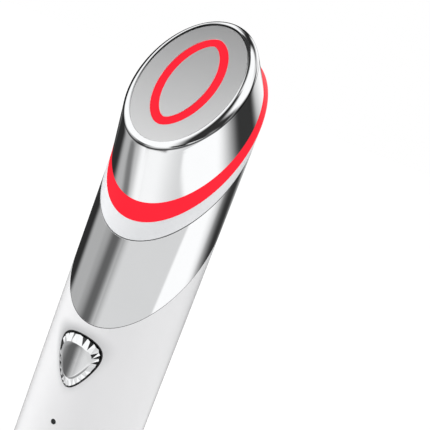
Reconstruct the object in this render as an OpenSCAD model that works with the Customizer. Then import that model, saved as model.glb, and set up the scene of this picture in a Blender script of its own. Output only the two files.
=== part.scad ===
// A hand-held microcurrent facial wand, standing on its base.
// Units are millimetres. Z runs along the barrel, and -Y is the button side.
// The head's own planes are all tilted by cut_angle: on them, "slope" is the
// distance up the tilt from the barrel's axis and "rise" the distance off it.

/* [Barrel] */
// Outside diameter of the barrel
barrel_d = 28; // [26:0.5:36]
// Wall of the barrel
barrel_wall = 2; // [1.6:0.1:2.6]
// Height of the barrel's slanted top seam, on the axis
barrel_h = 117.4; // [112:1:150]
// Tilt of every seam and of the face, from level
cut_angle = 53.7; // [45:0.5:56]
// Round of the barrel's bottom edge
foot_round = 1.6; // [0.8:0.1:1.8]
// Number of flutes round the foot of the barrel
flute_count = 32; // [20:2:36]
// Depth of a flute at its foot
flute_depth = 0.4; // [0.2:0.05:0.6]
// Height at which the flutes run out
flute_h = 27; // [15:1:40]

/* [Base cap] */
// Thickness of the base cap
cap_t = 2.4; // [1.6:0.1:3]
// Height of the cap's skirt above its plate
skirt_h = 4.2; // [4:0.5:7]

/* [Bands] */
// Length of the polished contact sleeve, along the barrel
sleeve_h = 19.9; // [14:0.5:28]
// Wall of the contact sleeve
sleeve_wall = 0.9; // [0.6:0.1:1.2]
// Height of the pale band above the sleeve, along the barrel
pale_h = 4.5; // [3:0.25:7]
// Rise of the light band, square to the slanted seams
light_rise = 2.9; // [2:0.1:4]

/* [Head] */
// Rise of the face above the light band
head_rise = 10.25; // [9:0.25:13]
// Draft of the head's sides, from band to face
head_draft = 1.86; // [1:0.1:3]
// Draft of the head's front, on the slope
front_draft = 7.54; // [4:0.1:9]
// Draft of the head's back, on the slope
back_draft = 0.39; // [0.2:0.1:3]
// Wall of the head's shell
head_wall = 1.3; // [1:0.1:1.8]
// Radius of the bright round at the face's sides and front
rim_round = 1.8; // [1:0.1:2.4]
// Radius of that round at the head's back
back_round = 2.5; // [1:0.1:3]
// Thickness of the face plates
plate_t = 1; // [0.6:0.1:1.4]
// Width of the oval light ring, outside
ring_w = 12.2; // [9:0.2:13]
// Length of the oval light ring, outside
ring_l = 23.5; // [18:0.5:25]
// Width of the centre plate
centre_w = 8.7; // [6:0.1:9]
// Length of the centre plate, tip to tip
centre_l = 19.6; // [15:0.2:20.4]
// Shift of the ring and centre plate up the slope
ring_shift = 0.18; // [0:0.02:0.4]

/* [Button] */
// Width of the button
button_w = 9.6; // [8:0.2:12]
// Height of the button
button_h = 11.6; // [10:0.2:15]
// Height of the button's middle above the base
button_z = 89.5; // [84:0.5:92]
// Travel of the button
button_travel = 0.5; // [0.3:0.1:0.8]
// Notches round the button's crown
notch_count = 16; // [12:1:20]

/* [Inside] */
// Diameter of the battery cell
cell_d = 14; // [12:0.5:14.5]
// Length of the battery cell
cell_h = 49; // [40:1:52]
// Diameter of the vibration motor
motor_d = 7; // [6:0.5:8]
// Length of the motor's can
motor_h = 14; // [10:0.5:16]
// Thickness of the circuit boards
board_t = 1; // [0.8:0.1:1.6]

/* [Hidden] */
$fn = 96;
eps = 0.01;
// Clearances: a seam between fixed shells, a sliding fit and a running fit
seam = 0.05;
slide_fit = 0.15;
run_fit = 0.05;

// Barrel and its seams
barrel_r = barrel_d / 2;
bore_r = barrel_r - barrel_wall;
neck_r = barrel_r - sleeve_wall - seam;
window_z = barrel_h + barrel_r * tan(cut_angle) + 2;
window_h = 7;
strip_t = 0.4;
strip_w = 3;
pale_z = barrel_h + sleeve_h;
light_z = pale_z + pale_h;
reach = 4 * barrel_d;

// Stations of the head: slope offset, rise, half width and half length
function grow(st, by) = [st[0], st[1], st[2] + by, st[3] + by];
function lift(st, by) = [st[0], st[1] + by, st[2], st[3]];
function between(a, b, rise) = a + (b - a) * (rise - a[1]) / (b[1] - a[1]);
light_foot = [0, 0, barrel_r, barrel_r / cos(cut_angle)];
light_side_draft = 0.5;
light_front_draft = 3;
light_back_draft = 1.7;
band_top = [
    (light_front_draft - light_back_draft) / 2, light_rise,
    light_foot[2] - light_side_draft,
    light_foot[3] - (light_front_draft + light_back_draft) / 2
];
face_rise = light_rise + head_rise;
rim = [
    band_top[0] + (front_draft - back_draft) / 2, face_rise,
    band_top[2] - head_draft,
    band_top[3] - (front_draft + back_draft) / 2
];
rim_rounds = [rim_round, rim_round, back_round];
rim_falls = [for (a = [90, 79, 68, 57, 46, 36, 27, 18, 10]) back_round * 0.96 * (1 - cos(a))];
face_edge = head_oval(face_rise);
face_slope = face_edge[0];
ring_slope = face_slope + ring_shift;

// Reach of the head to its side (0), front (1) or back (2): straight sides, then the round
function reach_of(st, k) = k == 0 ? st[2] : k == 1 ? st[3] - st[0] : st[3] + st[0];
function straight(rise, k) = reach_of(between(band_top, rim, rise), k);
function rim_reach(rise, k) = let (r = rim_rounds[k], fall = face_rise - rise,
    top = straight(face_rise, k), tilt = atan2(1, straight(face_rise - 1, k) - top),
    tangent = r * tan(tilt / 2)) fall < tangent * sin(tilt)
        ? top - tangent + sqrt(max(0, r * r - pow(r - fall, 2))) : straight(rise, k);
function head_oval(rise) = let (f = rim_reach(rise, 1), b = rim_reach(rise, 2))
    [(b - f) / 2, rise, rim_reach(rise, 0), (b + f) / 2];
ledge_w = 1.2;
ledge_t = 1.3;
oval_steps = 120;

// Face: the light ring sits a touch below the plates
ring_drop = 0.12;
backplate_t = 1.8;

// Base cap and its seal
cap_r = bore_r - seam;
skirt_wall = 1.8;
seal_r = 0.6;
seal_z = cap_t + skirt_h - 1.9;
flute_r = 1.25;

// Inner frame: a half pipe that the board closes
frame_r = bore_r - 0.2;
frame_wall = 1.2;
frame_z = cap_t + skirt_h;
frame_top = min(barrel_h - 6, button_z + 22);
stop_w = 1.4;
stop_t = 1.5;
cell_y = frame_r - frame_wall - 0.15 - cell_d / 2;
cell_z = frame_z + 9;
board_back = cell_y - cell_d / 2 - 0.2;
board_front = board_back - board_t;
board_half = sqrt(pow(frame_r, 2) - pow(board_front, 2)) - 0.6;
tongue_half = 6;
bulk_t = 3.2;
end_room = 2.6;
bulk_z = [cell_z - bulk_t - end_room, cell_z + cell_h + end_room, frame_top - bulk_t];
screw_x = 7;
pilot_r = 0.7;
screw_r = 0.95;
screw_head_r = 1.8;
screw_head_h = 1.1;
screw_l = 5;

// Motor, held by two bulkheads
motor_y = 2.6;
boot_t = 0.6;
motor_z = bulk_z[1] + 6;
clip_t = 2.2;
clip_z = [motor_z + 1, motor_z + motor_h - clip_t - 1];
shaft_r = 0.5;
weight_r = 4.4;
weight_h = 4.5;
weight_gap = 1;

// USB-C socket on the back of the board's tongue
socket_w = 8.94;
socket_t = 3.26;
socket_l = 7.3;
socket_z = 1;
socket_y = board_back + socket_t / 2;
socket_wall = 0.3;
port_gap = 0.25;

// Switch on the front of the board
switch_w = 6;
switch_h = 2.6;
plunger_r = 1.7;
plunger_h = 1.1;
plunger_tip = board_front - switch_h - plunger_h;

// Button cap: outline, crown and flange
button_gap = 0.15;
liner_t = 0.3;
flange_w = 1.1;
flange_t = 1.1;
flange_r = bore_r - slide_fit;
stem_r = 2;
rim_proud = 0.35;
notch_proud = 0.05;
crown_proud = 1.05;
crown_scale = 0.68;

// Lights in the barrel
status_z = 74.6;
status_r = 0.6;
level_z = 43.9;
level_r = 0.42;
level_pitch = 1.5;
level_count = 3;
pipe_flange = 0.5;

// Head carrier, board and contacts
carrier_h = 8;
carrier_wall = 1.4;
carrier_floor = 1.6;
post_h = 4.2;
post_r = 2.1;
head_board_rise = post_h;
head_board_station = between(band_top, rim, head_board_rise + board_t);
head_board_a = head_board_station[2] - head_wall - 1.2;
head_board_b = head_board_station[3] - head_wall - 1.8;
head_board_slope = head_board_station[0];
post_x = 6;
post_s = 10;
led_l = 2;
led_w = 1.25;
led_h = 0.8;
face_led_count = 10;
band_led_count = 8;
led_row_a = (ring_w + centre_w) / 4;
led_row_b = (ring_l + centre_l) / 4;
pin_r = 0.75;
tip_r = 0.45;
lead_r = 0.45;

// Puts its children on the slanted plane that crosses the axis at height h.
module on_slant(h) translate([0, 0, h]) rotate([cut_angle, 0, 0]) children();

// All the space above, or below, that slanted plane.
module above_slant(h) on_slant(h)
    translate([-reach / 2, -reach / 2, 0]) cube([reach, reach, reach]);
module below_slant(h) on_slant(h)
    translate([-reach / 2, -reach / 2, -reach]) cube([reach, reach, reach]);

// A tube along Z between two heights.
module tube(r_out, r_in, z0, z1) difference() {
    translate([0, 0, z0]) cylinder(r = r_out, h = z1 - z0);
    translate([0, 0, z0 - 1]) cylinder(r = r_in, h = z1 - z0 + 2);
}

// The part of a tube between two slanted planes.
module slanted_tube(r_out, r_in, h0, h1) difference() {
    tube(r_out, r_in, h0 - reach / 3, h1 + reach / 3);
    below_slant(h0);
    above_slant(h1);
}

// A flat elliptical plate on the slanted plane, at a slope and a rise.
module oval_plate(a, b, slope, rise, t) translate([0, slope, rise])
    linear_extrude(t) scale([1, b / a]) circle(a);

// One oval ring of points at a station.
function oval(st) = [for (i = [0:oval_steps - 1]) let (t = 360 * i / oval_steps)
    [st[2] * cos(t), st[0] + st[3] * sin(t), st[1]]];

// A shell swept round the oval: stations run up the outside and down the inside.
module oval_shell(stations) {
    m = len(stations);
    n = oval_steps;
    polyhedron(
        points = [for (st = stations) each oval(st)],
        faces = [for (j = [0:m - 1], i = [0:n - 1])
            let (k = (j + 1) % m, e = (i + 1) % n)
            each [[j * n + i, k * n + i, k * n + e], [j * n + i, k * n + e, j * n + e]]],
        convexity = 6);
}

// A screw along Z with its head's underside at 0.
module screw(l) {
    difference() {
        cylinder(r = screw_head_r, h = screw_head_h);
        translate([0, 0, screw_head_h / 2]) cylinder(r = 0.8, h = 1, $fn = 6);
    }
    translate([0, 0, -l]) cylinder(r = screw_r - 0.3, h = l + eps);
}

// A smooth line through points, and a round lead along it.
function spline_point(a, b, c, d, t) = 0.5 * (2 * b + (c - a) * t
    + (2 * a - 5 * b + 4 * c - d) * t * t + (3 * b - a - 3 * c + d) * t * t * t);
function spline(p, steps) = let (q = concat([2 * p[0] - p[1]], p,
    [2 * p[len(p) - 1] - p[len(p) - 2]])) concat(
    [for (i = [1:len(p) - 1], k = [0:steps - 1])
        spline_point(q[i - 1], q[i], q[i + 1], q[i + 2], k / steps)],
    [p[len(p) - 1]]);
function unit(v) = v / norm(v);
module lead(points, r, sides = 8, steps = 5) {
    p = spline(points, steps);
    m = len(p);
    function tangent(i) = unit(p[min(i + 1, m - 1)] - p[max(i - 1, 0)]);
    function ring(i) = let (t = tangent(i), u = unit(cross([1, 0.13, 0], t)), w = cross(t, u))
        [for (k = [0:sides - 1]) p[i] + r * (u * cos(360 * k / sides)
            + w * sin(360 * k / sides))];
    polyhedron(
        points = [for (i = [0:m - 1]) each ring(i)],
        faces = concat(
            [[for (k = [0:sides - 1]) k]],
            [[for (k = [0:sides - 1]) (m - 1) * sides + sides - 1 - k]],
            [for (i = [0:m - 2], k = [0:sides - 1]) let (e = (k + 1) % sides)
                each [[i * sides + k, (i + 1) * sides + k, (i + 1) * sides + e],
                    [i * sides + k, (i + 1) * sides + e, i * sides + e]]]));
}

// Outline of the button: a plectrum with its broad end up. t is 0 at the top.
pick_fullness = 0.888;
pick_taper = 0.42;
pick_shoulder = 0.15;
pick_corner = 0.06;
function pick_swell(c) = pick_fullness + pick_taper * c + pick_shoulder * c * c
    + pick_corner * c * c * c;
function pick(t, by = 0) = [
    (button_w / 2 + by) * sin(t) * pick_swell(cos(t)),
    (button_h / 2 + by) * cos(t)];
module pick_prism(by, depth) translate([0, 0, button_z]) rotate([90, 0, 0])
    linear_extrude(depth) polygon([for (i = [0:71]) pick(-5 * i, by)]);

// The barrel with its neck, flutes, stop ring and openings.
module body_shell() color("white") difference() {
    union() {
        difference() {
            barrel_wall_ring();
            above_slant(barrel_h);
        }
        difference() {
            tube(neck_r, bore_r, barrel_h - reach / 3, light_z + reach / 3);
            above_slant(light_z - seam);
        }
        translate([0, 0, frame_top + seam])
            tube(bore_r + 0.5, bore_r - stop_w, 0, stop_t);
    }
    flutes();
    pick_prism(button_gap + liner_t + 0.03, barrel_d);
    light_hole(status_z, status_r + 0.03);
    for (z = level_heights()) light_hole(z, level_r + 0.03);
    sleeve_window();
}

// The barrel's tube, with a round at its bottom edge.
module barrel_wall_ring() rotate_extrude() difference() {
    translate([bore_r, 0]) square([barrel_wall, barrel_h + reach / 3]);
    translate([barrel_r - foot_round, 0]) difference() {
        translate([0, -1]) square([foot_round + 1, foot_round + 1]);
        translate([0, foot_round]) circle(foot_round);
    }
}

function level_heights() = [for (i = [0:level_count - 1])
    level_z + (i - (level_count - 1) / 2) * level_pitch];

module light_hole(z, r) translate([0, 0, z]) rotate([90, 0, 0])
    cylinder(r = r, h = barrel_d);

// Each flute is a leaning twelve-sided bar that leaves the wall at flute_h.
module flutes() {
    lean = atan(flute_depth / flute_h);
    for (i = [0:flute_count - 1]) rotate([0, 0, 360 * (i + 0.5) / flute_count])
        translate([barrel_r + flute_r - flute_depth, 0, 0]) rotate([0, lean, 0])
            translate([0, 0, -2]) cylinder(r = flute_r, h = flute_h * 1.5, $fn = 12);
}

module sleeve_window() translate([-2.5, 0, window_z]) cube([5, barrel_d, window_h]);

// The base cap: a plate flush with the barrel's foot, a skirt and the port.
module end_cap() color("white") difference() {
    union() {
        cylinder(r = cap_r, h = cap_t);
        tube(cap_r, cap_r - skirt_wall, cap_t - eps, cap_t + skirt_h);
        translate([-socket_w / 2 - 2, socket_y - socket_t / 2 - 1.4 - board_t, cap_t - eps])
            cube([socket_w + 4, socket_t + 2.6 + board_t, 2.2]);
    }
    translate([0, 0, seal_z]) rotate_extrude() translate([cap_r, 0]) circle(seal_r);
    socket_outline(port_gap, -1, socket_z + 1);
    translate([-socket_w / 2 - port_gap, socket_y - socket_t / 2 - port_gap, socket_z])
        cube([socket_w + 2 * port_gap, socket_t + 2 * port_gap, skirt_h + 2]);
    translate([-tongue_half - 0.2, board_front - 0.2, socket_z + 1])
        cube([2 * tongue_half + 0.4, board_t + 0.4, skirt_h + 2]);
}

// The rounded outline of the charging port, between two heights.
module socket_outline(by, z0, z1) {
    r = socket_t / 2 + by;
    half = socket_w / 2 + by - r;
    translate([0, socket_y, z0]) {
        for (x = [-half, half]) translate([x, 0, 0]) cylinder(r = r, h = z1 - z0);
        translate([-half, -r, 0]) cube([2 * half, 2 * r, z1 - z0]);
    }
}

module cap_seal() color("dimgray") difference() {
    translate([0, 0, seal_z]) rotate_extrude()
        translate([cap_r, 0]) circle(seal_r - 0.02);
    tube(barrel_d, bore_r - 0.01, 0, seal_z + 2);
}

module contact_sleeve() color("silver")
    slanted_tube(barrel_r, barrel_r - sleeve_wall, barrel_h + seam, pale_z - seam);

module pale_band() color("gainsboro")
    slanted_tube(barrel_r, barrel_r - sleeve_wall, pale_z, light_z - seam);

// The glowing band: it leans in from the barrel to the head's foot.
module light_band() color("crimson") on_slant(light_z) {
    wall = barrel_wall;
    top = lift(band_top, -seam);
    oval_shell([light_foot, top, grow(top, -wall),
        [0, 0, light_foot[2] - wall, light_foot[3] - wall / cos(cut_angle)]]);
}

// The polished head: a skewed loft from the band, rounded over to the face.
module head_shell() color("silver") on_slant(light_z) {
    inner_top = grow(between(band_top, rim, face_rise - plate_t - ledge_t), -head_wall);
    inner_foot = grow(band_top, -barrel_wall - 0.1);
    spigot = 1.6;
    spigot_wall = 0.9;
    shelf_t = 0.5;
    shelf_rise = 1.2;
    oval_shell(concat(
        [band_top], [for (fall = rim_falls) head_oval(face_rise - fall)],
        [grow(face_edge, seam), lift(grow(face_edge, seam), -plate_t),
        lift(grow(face_edge, -ledge_w), -plate_t),
        lift(grow(face_edge, -ledge_w), -plate_t - ledge_t),
        inner_top, grow(between(band_top, rim, light_rise + shelf_rise), -head_wall),
        lift(grow(inner_foot, -spigot_wall), shelf_t),
        lift(grow(inner_foot, -spigot_wall), -spigot), lift(inner_foot, -spigot), inner_foot]));
}

// The face: an outer plate, the light ring and the centre plate.
module face_plate() color("darkgray") on_slant(light_z) difference() {
    oval_plate(face_edge[2], face_edge[3], face_slope, face_rise - plate_t, plate_t);
    translate([0, ring_slope, face_rise - plate_t - 1])
        pointed_oval(ring_w + 2 * seam, ring_l + 2 * seam, ring_point, plate_t + 2);
}

// A pointed oval: a half is an ellipse, and more draws its tips sharper.
ring_point = 0.558;
centre_point = 0.615;
module pointed_oval(w, l, point, t) linear_extrude(t) polygon([for (i = [0:oval_steps - 1])
    let (a = 360 * i / oval_steps, c = cos(a))
    [(c < 0 ? -1 : 1) * w / 2 * pow(abs(c), 2 * point), l / 2 * sin(a)]]);

module face_light_ring() color("crimson") on_slant(light_z)
    translate([0, ring_slope, face_rise - plate_t]) difference() {
        pointed_oval(ring_w, ring_l, ring_point, plate_t - ring_drop);
        translate([0, 0, -1])
            pointed_oval(centre_w + 2 * seam, centre_l + 2 * seam, centre_point, plate_t + 2);
    }

module centre_plate() color("darkgray") on_slant(light_z)
    translate([0, ring_slope, face_rise - plate_t])
        pointed_oval(centre_w, centre_l, centre_point, plate_t);

module face_backplate() color("whitesmoke") on_slant(light_z) difference() {
    oval_plate(face_edge[2] - ledge_w - 0.1, face_edge[3] - ledge_w - 0.1, face_slope,
        face_rise - plate_t - backplate_t - seam / 2, backplate_t);
    for (p = contact_places()) translate([p[0], p[1], face_rise - reach / 8])
        cylinder(r = tip_r + 0.2, h = reach / 8);
}

// Two contacts under the outer plate and two under the centre plate.
function contact_places() = [
    [ring_w / 2 + 1.3, ring_slope], [-ring_w / 2 - 1.3, ring_slope],
    [0, ring_slope + 4.5], [0, ring_slope - 4.5]];

module plate_contacts() color("gold") on_slant(light_z) for (p = contact_places())
    translate([p[0], p[1], head_board_rise + board_t]) {
        tip = face_rise - plate_t - head_board_rise - board_t;
        cylinder(r = pin_r, h = 0.55 * tip);
        cylinder(r = tip_r, h = tip);
    }

// The carrier plugs the neck and holds the head's board on four posts.
module head_carrier() color("whitesmoke") difference() {
    union() {
        difference() {
            slanted_tube(bore_r - 0.1, bore_r - carrier_wall, light_z - carrier_h, light_z);
        }
        slanted_tube(bore_r - 0.2, 1, light_z - carrier_floor, light_z);
        on_slant(light_z) for (p = post_places()) translate([p[0], p[1], -carrier_floor])
            cylinder(r = post_r, h = post_h + carrier_floor);
    }
    on_slant(light_z) for (p = post_places()) translate([p[0], p[1], -carrier_floor / 2])
        cylinder(r = pilot_r, h = reach / 4);
    translate([-3, -3, light_z - reach / 3]) cube([6, 6, reach]);
    on_slant(light_z) difference() {
        translate([0, 0, eps]) linear_extrude(reach / 4) square(reach, center = true);
        for (p = post_places()) translate([p[0], p[1], 0])
            cylinder(r = post_r, h = post_h);
    }
}

function post_places() = [for (x = [-post_x, post_x], s = [-post_s, post_s])
    [x, s + head_board_slope]];

module head_board() color("darkgreen") on_slant(light_z) difference() {
    oval_plate(head_board_a, head_board_b, head_board_slope, head_board_rise, board_t);
    for (p = post_places()) translate([p[0], p[1], 0]) cylinder(r = screw_r, h = reach / 4);
}

module head_screws() color("silver") on_slant(light_z) for (p = post_places())
    translate([p[0], p[1], head_board_rise + board_t]) screw(screw_l - 1);

// A light chip, lying on a board.
module led() translate([-led_l / 2, -led_w / 2, 0]) cube([led_l, led_w, led_h]);

module face_leds() color("white") on_slant(light_z)
    for (i = [0:face_led_count - 1]) let (t = 360 * (i + 0.5) / face_led_count)
        translate([led_row_a * cos(t), ring_slope + led_row_b * sin(t),
            head_board_rise + board_t])
            rotate([0, 0, t + 90]) led();

module band_leds() color("white") on_slant(light_z)
    for (i = [0:band_led_count - 1]) let (t = 360 * (i + 0.5) / band_led_count)
        translate([(head_board_a - 1.2) * cos(t),
            head_board_slope + (head_board_b - 1.2) * sin(t), head_board_rise - led_h])
            rotate([0, 0, t + 90]) led();

// The button: a notched crown over a skirt, with a flange inside the wall.
module button_cap() color("silver") {
    button_crown();
    intersection() {
        pick_prism(flange_w, barrel_d);
        tube(flange_r, flange_r - flange_t, button_z - button_h, button_z + button_h);
    }
    translate([0, -flange_r + flange_t / 2, button_z]) rotate([-90, 0, 0])
        cylinder(r = stem_r, h = plunger_tip - run_fit + flange_r - flange_t / 2);
}

// A point over the barrel's surface at outline angle t, drawn in by a scale.
function crown_point(t, by, proud) = let (p = pick(t) * by)
    [p[0], -sqrt(pow(barrel_r, 2) - pow(p[0], 2)) - proud, button_z + p[1]];
module button_crown() {
    n = notch_count;
    step = 360 / n;
    skirt_y = -flange_r + flange_t / 2;
    ridge = [for (i = [0:n - 1]) crown_point(i * step, 1, rim_proud)];
    notch = [for (i = [0:n - 1]) crown_point((i + 0.5) * step, 1, notch_proud)];
    crown = [for (i = [0:n - 1]) crown_point((i + 0.5) * step, crown_scale, crown_proud)];
    field = [for (s = [0.75, 0.5, 0.25], i = [0:n - 1])
        crown_point((i + 0.5) * step, crown_scale * s, crown_proud)];
    foot = [for (p = concat(ridge, notch)) [p[0], skirt_y, p[2]]];
    middle = [crown_point(0, 0, crown_proud)];
    // Point numbers: ridge 0, notch n, crown 2n, field 3n to 5n, foot 6n, middle 8n
    polyhedron(
        points = concat(ridge, notch, crown, field, foot, middle),
        faces = concat(
            [for (i = [0:n - 1]) let (e = (i + 1) % n, b = (i + n - 1) % n) each [
                [i, n + i, 2 * n + i], [n + i, e, 2 * n + i],
                [2 * n + b, i, 2 * n + i],
                [i, 6 * n + i, 7 * n + i], [i, 7 * n + i, n + i],
                [n + i, 7 * n + i, 6 * n + e], [n + i, 6 * n + e, e],
                [8 * n, 5 * n + i, 5 * n + e]]],
            [for (k = [2:4], i = [0:n - 1]) let (e = (i + 1) % n) each [
                [k * n + i, k * n + e, (k + 1) * n + e],
                [k * n + i, (k + 1) * n + e, (k + 1) * n + i]]],
            [[for (i = [0:n - 1]) each [6 * n + (n - 1 - i + 1) % n, 7 * n + n - 1 - i]]]),
        convexity = 6);
}

// The dark liner that the button slides in.
module button_liner() color("dimgray") intersection() {
    difference() {
        pick_prism(button_gap + liner_t, barrel_d);
        pick_prism(button_gap, barrel_d + 1);
    }
    tube(barrel_r - 0.15, bore_r + 0.05, button_z - button_h, button_z + button_h);
}

// A light pipe with a foot inside the wall.
module light_pipe(z, r) translate([0, 0, z]) rotate([90, 0, 0]) {
    translate([0, 0, bore_r - 0.9]) cylinder(r = r + pipe_flange, h = 0.7);
    translate([0, 0, bore_r - 0.5]) cylinder(r = r, h = barrel_wall + 0.5);
}
module status_lens() color("black") light_pipe(status_z, status_r);
module level_lenses() color("black") for (z = level_heights()) light_pipe(z, level_r);

module indicator_leds() color("white")
    for (z = concat([status_z], level_heights()))
        translate([-led_l / 2, board_front - led_h, z - 0.5]) cube([led_l, led_h, 1]);

// The frame: a half pipe with bulkheads, screw bosses and motor clips.
module inner_frame() color("lightgray") difference() {
    union() {
        intersection() {
            tube(frame_r, frame_r - frame_wall, frame_z, frame_top);
            behind_board(frame_z, frame_top);
        }
        for (z = bulk_z) bulkhead(z, bulk_t);
        for (z = clip_z) bulkhead(z, clip_t);
    }
    translate([0, cell_y, bulk_z[0] + bulk_t]) cylinder(r = cell_d / 2 + 0.1,
        h = bulk_z[1] - bulk_z[0] - bulk_t);
    translate([0, motor_y, bulk_z[1] + bulk_t + 1]) cylinder(r = motor_d / 2 + boot_t + 0.03,
        h = bulk_z[2] - bulk_z[1] - bulk_t - 2);
    translate([0, cell_y, frame_z - 1]) cylinder(r = 3.4, h = frame_top);
    socket_room();
    for (z = bulk_z, x = [-screw_x, screw_x]) translate([x, board_back - 1, z + bulk_t / 2])
        rotate([-90, 0, 0]) cylinder(r = pilot_r, h = 6);
}
module behind_board(z0, z1) translate([-barrel_r, board_back + seam, z0])
    cube([barrel_d, barrel_d, z1 - z0]);
module bulkhead(z, t) intersection() {
    translate([0, 0, z]) cylinder(r = frame_r - eps, h = t);
    behind_board(z, z + t);
}
module socket_room() translate([-socket_w / 2 - 0.5, board_back - 1, frame_z - 1])
    cube([socket_w + 1, socket_t + 1.5, 4]);

module main_board() color("darkgreen") difference() {
    union() {
        translate([-board_half, board_front, frame_z + 0.5])
            cube([2 * board_half, board_t, frame_top - frame_z - 1]);
        translate([-tongue_half, board_front, socket_z + 1.2])
            cube([2 * tongue_half, board_t, frame_z]);
    }
    for (z = bulk_z, x = [-screw_x, screw_x]) translate([x, board_back + 1, z + bulk_t / 2])
        rotate([90, 0, 0]) cylinder(r = screw_r, h = 4);
}

module board_screws() color("silver")
    for (z = bulk_z, x = [-screw_x, screw_x]) translate([x, board_front, z + bulk_t / 2])
        rotate([90, 0, 0]) screw(screw_l);

// The chips, the boost coil and the lead socket on the board.
module board_chips() color("dimgray") {
    chip([6, 6], 30, 0.9);
    chip([5, 5], 58, 0.9);
    chip([3, 3], 66, 0.8);
    translate([1, board_front, 21]) rotate([90, 0, 0]) cylinder(r = 3, h = 2.6);
    translate([-5, board_front - 3, frame_top - 9]) cube([10, 3, 4]);
    translate([-8.6, board_front - 2.4, 17]) cube([4.4, 2.4, 5]);
}
module chip(size, z, t) translate([-size[0] / 2, board_front - t, z - size[1] / 2])
    cube([size[0], t, size[1]]);

module switch_body() color("dimgray") difference() {
    translate([-switch_w / 2, board_front - switch_h, button_z - switch_w / 2])
        cube([switch_w, switch_h, switch_w]);
    translate([0, board_front + 1, button_z]) rotate([90, 0, 0])
        translate([0, 0, 1.5]) cylinder(r = plunger_r + run_fit, h = switch_h);
}

module switch_plunger() color("black") translate([0, plunger_tip, button_z])
    rotate([-90, 0, 0]) cylinder(r = plunger_r, h = plunger_h + switch_h - 0.6 - button_travel);

module usb_socket() color("silver") difference() {
    socket_outline(0, socket_z, socket_z + socket_l);
    difference() {
        socket_outline(-socket_wall, socket_z - 1, socket_z + socket_l - 1);
    }
}
module usb_tongue() color("black")
    translate([-3.2, socket_y - 0.35, socket_z + 0.6]) cube([6.4, 0.7, socket_l - 1.6]);

module battery_cell() color("royalblue") translate([0, cell_y, cell_z]) {
    cylinder(r = cell_d / 2, h = cell_h);
    translate([0, 0, cell_h - eps]) cylinder(r = 2.8, h = 1);
}
module battery_tabs() color("silver") {
    translate([-2, board_back + 0.2, cell_z - 0.25]) cube([4, cell_y - board_back + 3, 0.2]);
    translate([-2, board_back + 0.2, cell_z + cell_h + 1.02])
        cube([4, cell_y - board_back + 3, 0.2]);
}
module battery_leads() color("red") for (side = [-1, 1]) {
    z = side < 0 ? cell_z - 0.8 : cell_z + cell_h + 1.75;
    lead([[side, cell_y, z], [3 * side, cell_y - 3, z], [5 * side, board_back + 0.5, z]], lead_r);
}

module motor_can() color("silver") difference() {
    translate([0, motor_y, motor_z]) {
        cylinder(r = motor_d / 2, h = motor_h);
        cylinder(r = 1.3, h = motor_h + 0.5);
    }
    translate([0, motor_y, motor_z + motor_h - 5]) cylinder(r = shaft_r + run_fit, h = 10);
}
module motor_boots() color("dimgray") translate([0, motor_y, 0])
    for (z = clip_z) tube(motor_d / 2 + boot_t, motor_d / 2, z - 0.6, z + clip_t + 0.6);

// The shaft and its half-round weight.
module motor_weight() color("silver") translate([0, motor_y, motor_z + motor_h]) {
    translate([0, 0, -4]) cylinder(r = shaft_r, h = 4 + weight_gap + weight_h);
    translate([0, 0, weight_gap]) {
        cylinder(r = 1.6, h = weight_h);
        intersection() {
            cylinder(r = weight_r, h = weight_h);
            translate([-weight_r, 0, 0]) cube([2 * weight_r, weight_r, weight_h]);
        }
    }
}
module motor_leads() color("red") for (x = [-1, 1])
    lead([[x, motor_y, motor_z - 0.1], [x, motor_y - 1, motor_z - 1.6],
        [x, board_back + 1.5, motor_z - 1.9], [x, board_back + 0.1, motor_z - 1.9]], lead_r);

// A ribbon of three leads from the board to the head.
module head_leads() color("gray") for (x = [-1.2, 0, 1.2])
    lead([[x, board_front - 1, frame_top - 5], [x, board_front - 1, frame_top],
        [x, -3, frame_top + 8], [x, 0, light_z - 12], [x, 0, light_z - 4],
        [x, 0, light_z + head_board_rise / cos(cut_angle) - 0.7]], lead_r);

// A springy strip: it stands on the frame and meets the sleeve through the window.
module sleeve_contact() color("gold") translate([-strip_w / 2, 0, 0])
    rotate([90, 0, 90]) linear_extrude(strip_w) polygon(concat(strip_side(0), strip_back()));
function strip_side(off) = let (inner = bore_r - stop_w - 0.5, wall = bore_r - 0.5,
    crest = barrel_r - sleeve_wall - strip_t - 0.15, mid = window_z + window_h / 2) [
    [inner - 4, frame_top + 0.05 + strip_t], [inner + off - strip_t, frame_top + 0.05 + strip_t],
    [inner - strip_t + off, frame_top + 5], [wall - strip_t + off, frame_top + 12],
    [wall - strip_t + off, mid - 3.2], [crest + off, mid - 0.6], [crest + off, mid + 0.6],
    [wall - strip_t + off, mid + 3.2], [wall - strip_t + off, window_z + window_h + 3]];
function strip_back() = let (p = strip_side(strip_t), n = len(p)) [for (i = [n - 1:-1:0])
    i == 1 ? [p[1][0], frame_top + 0.05] : i == 0 ? [p[0][0], frame_top + 0.05] : p[i]];

body_shell();
end_cap();
cap_seal();
contact_sleeve();
pale_band();
light_band();
head_shell();
face_plate();
face_light_ring();
centre_plate();
face_backplate();
head_carrier();
head_board();
face_leds();
band_leds();
plate_contacts();
head_screws();
head_leads();
button_cap();
button_liner();
status_lens();
level_lenses();
inner_frame();
main_board();
board_chips();
board_screws();
switch_body();
switch_plunger();
indicator_leds();
usb_socket();
usb_tongue();
battery_cell();
battery_tabs();
battery_leads();
motor_can();
motor_boots();
motor_weight();
motor_leads();
sleeve_contact();
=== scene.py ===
import bpy
import math
from mathutils import Matrix, Vector


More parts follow.
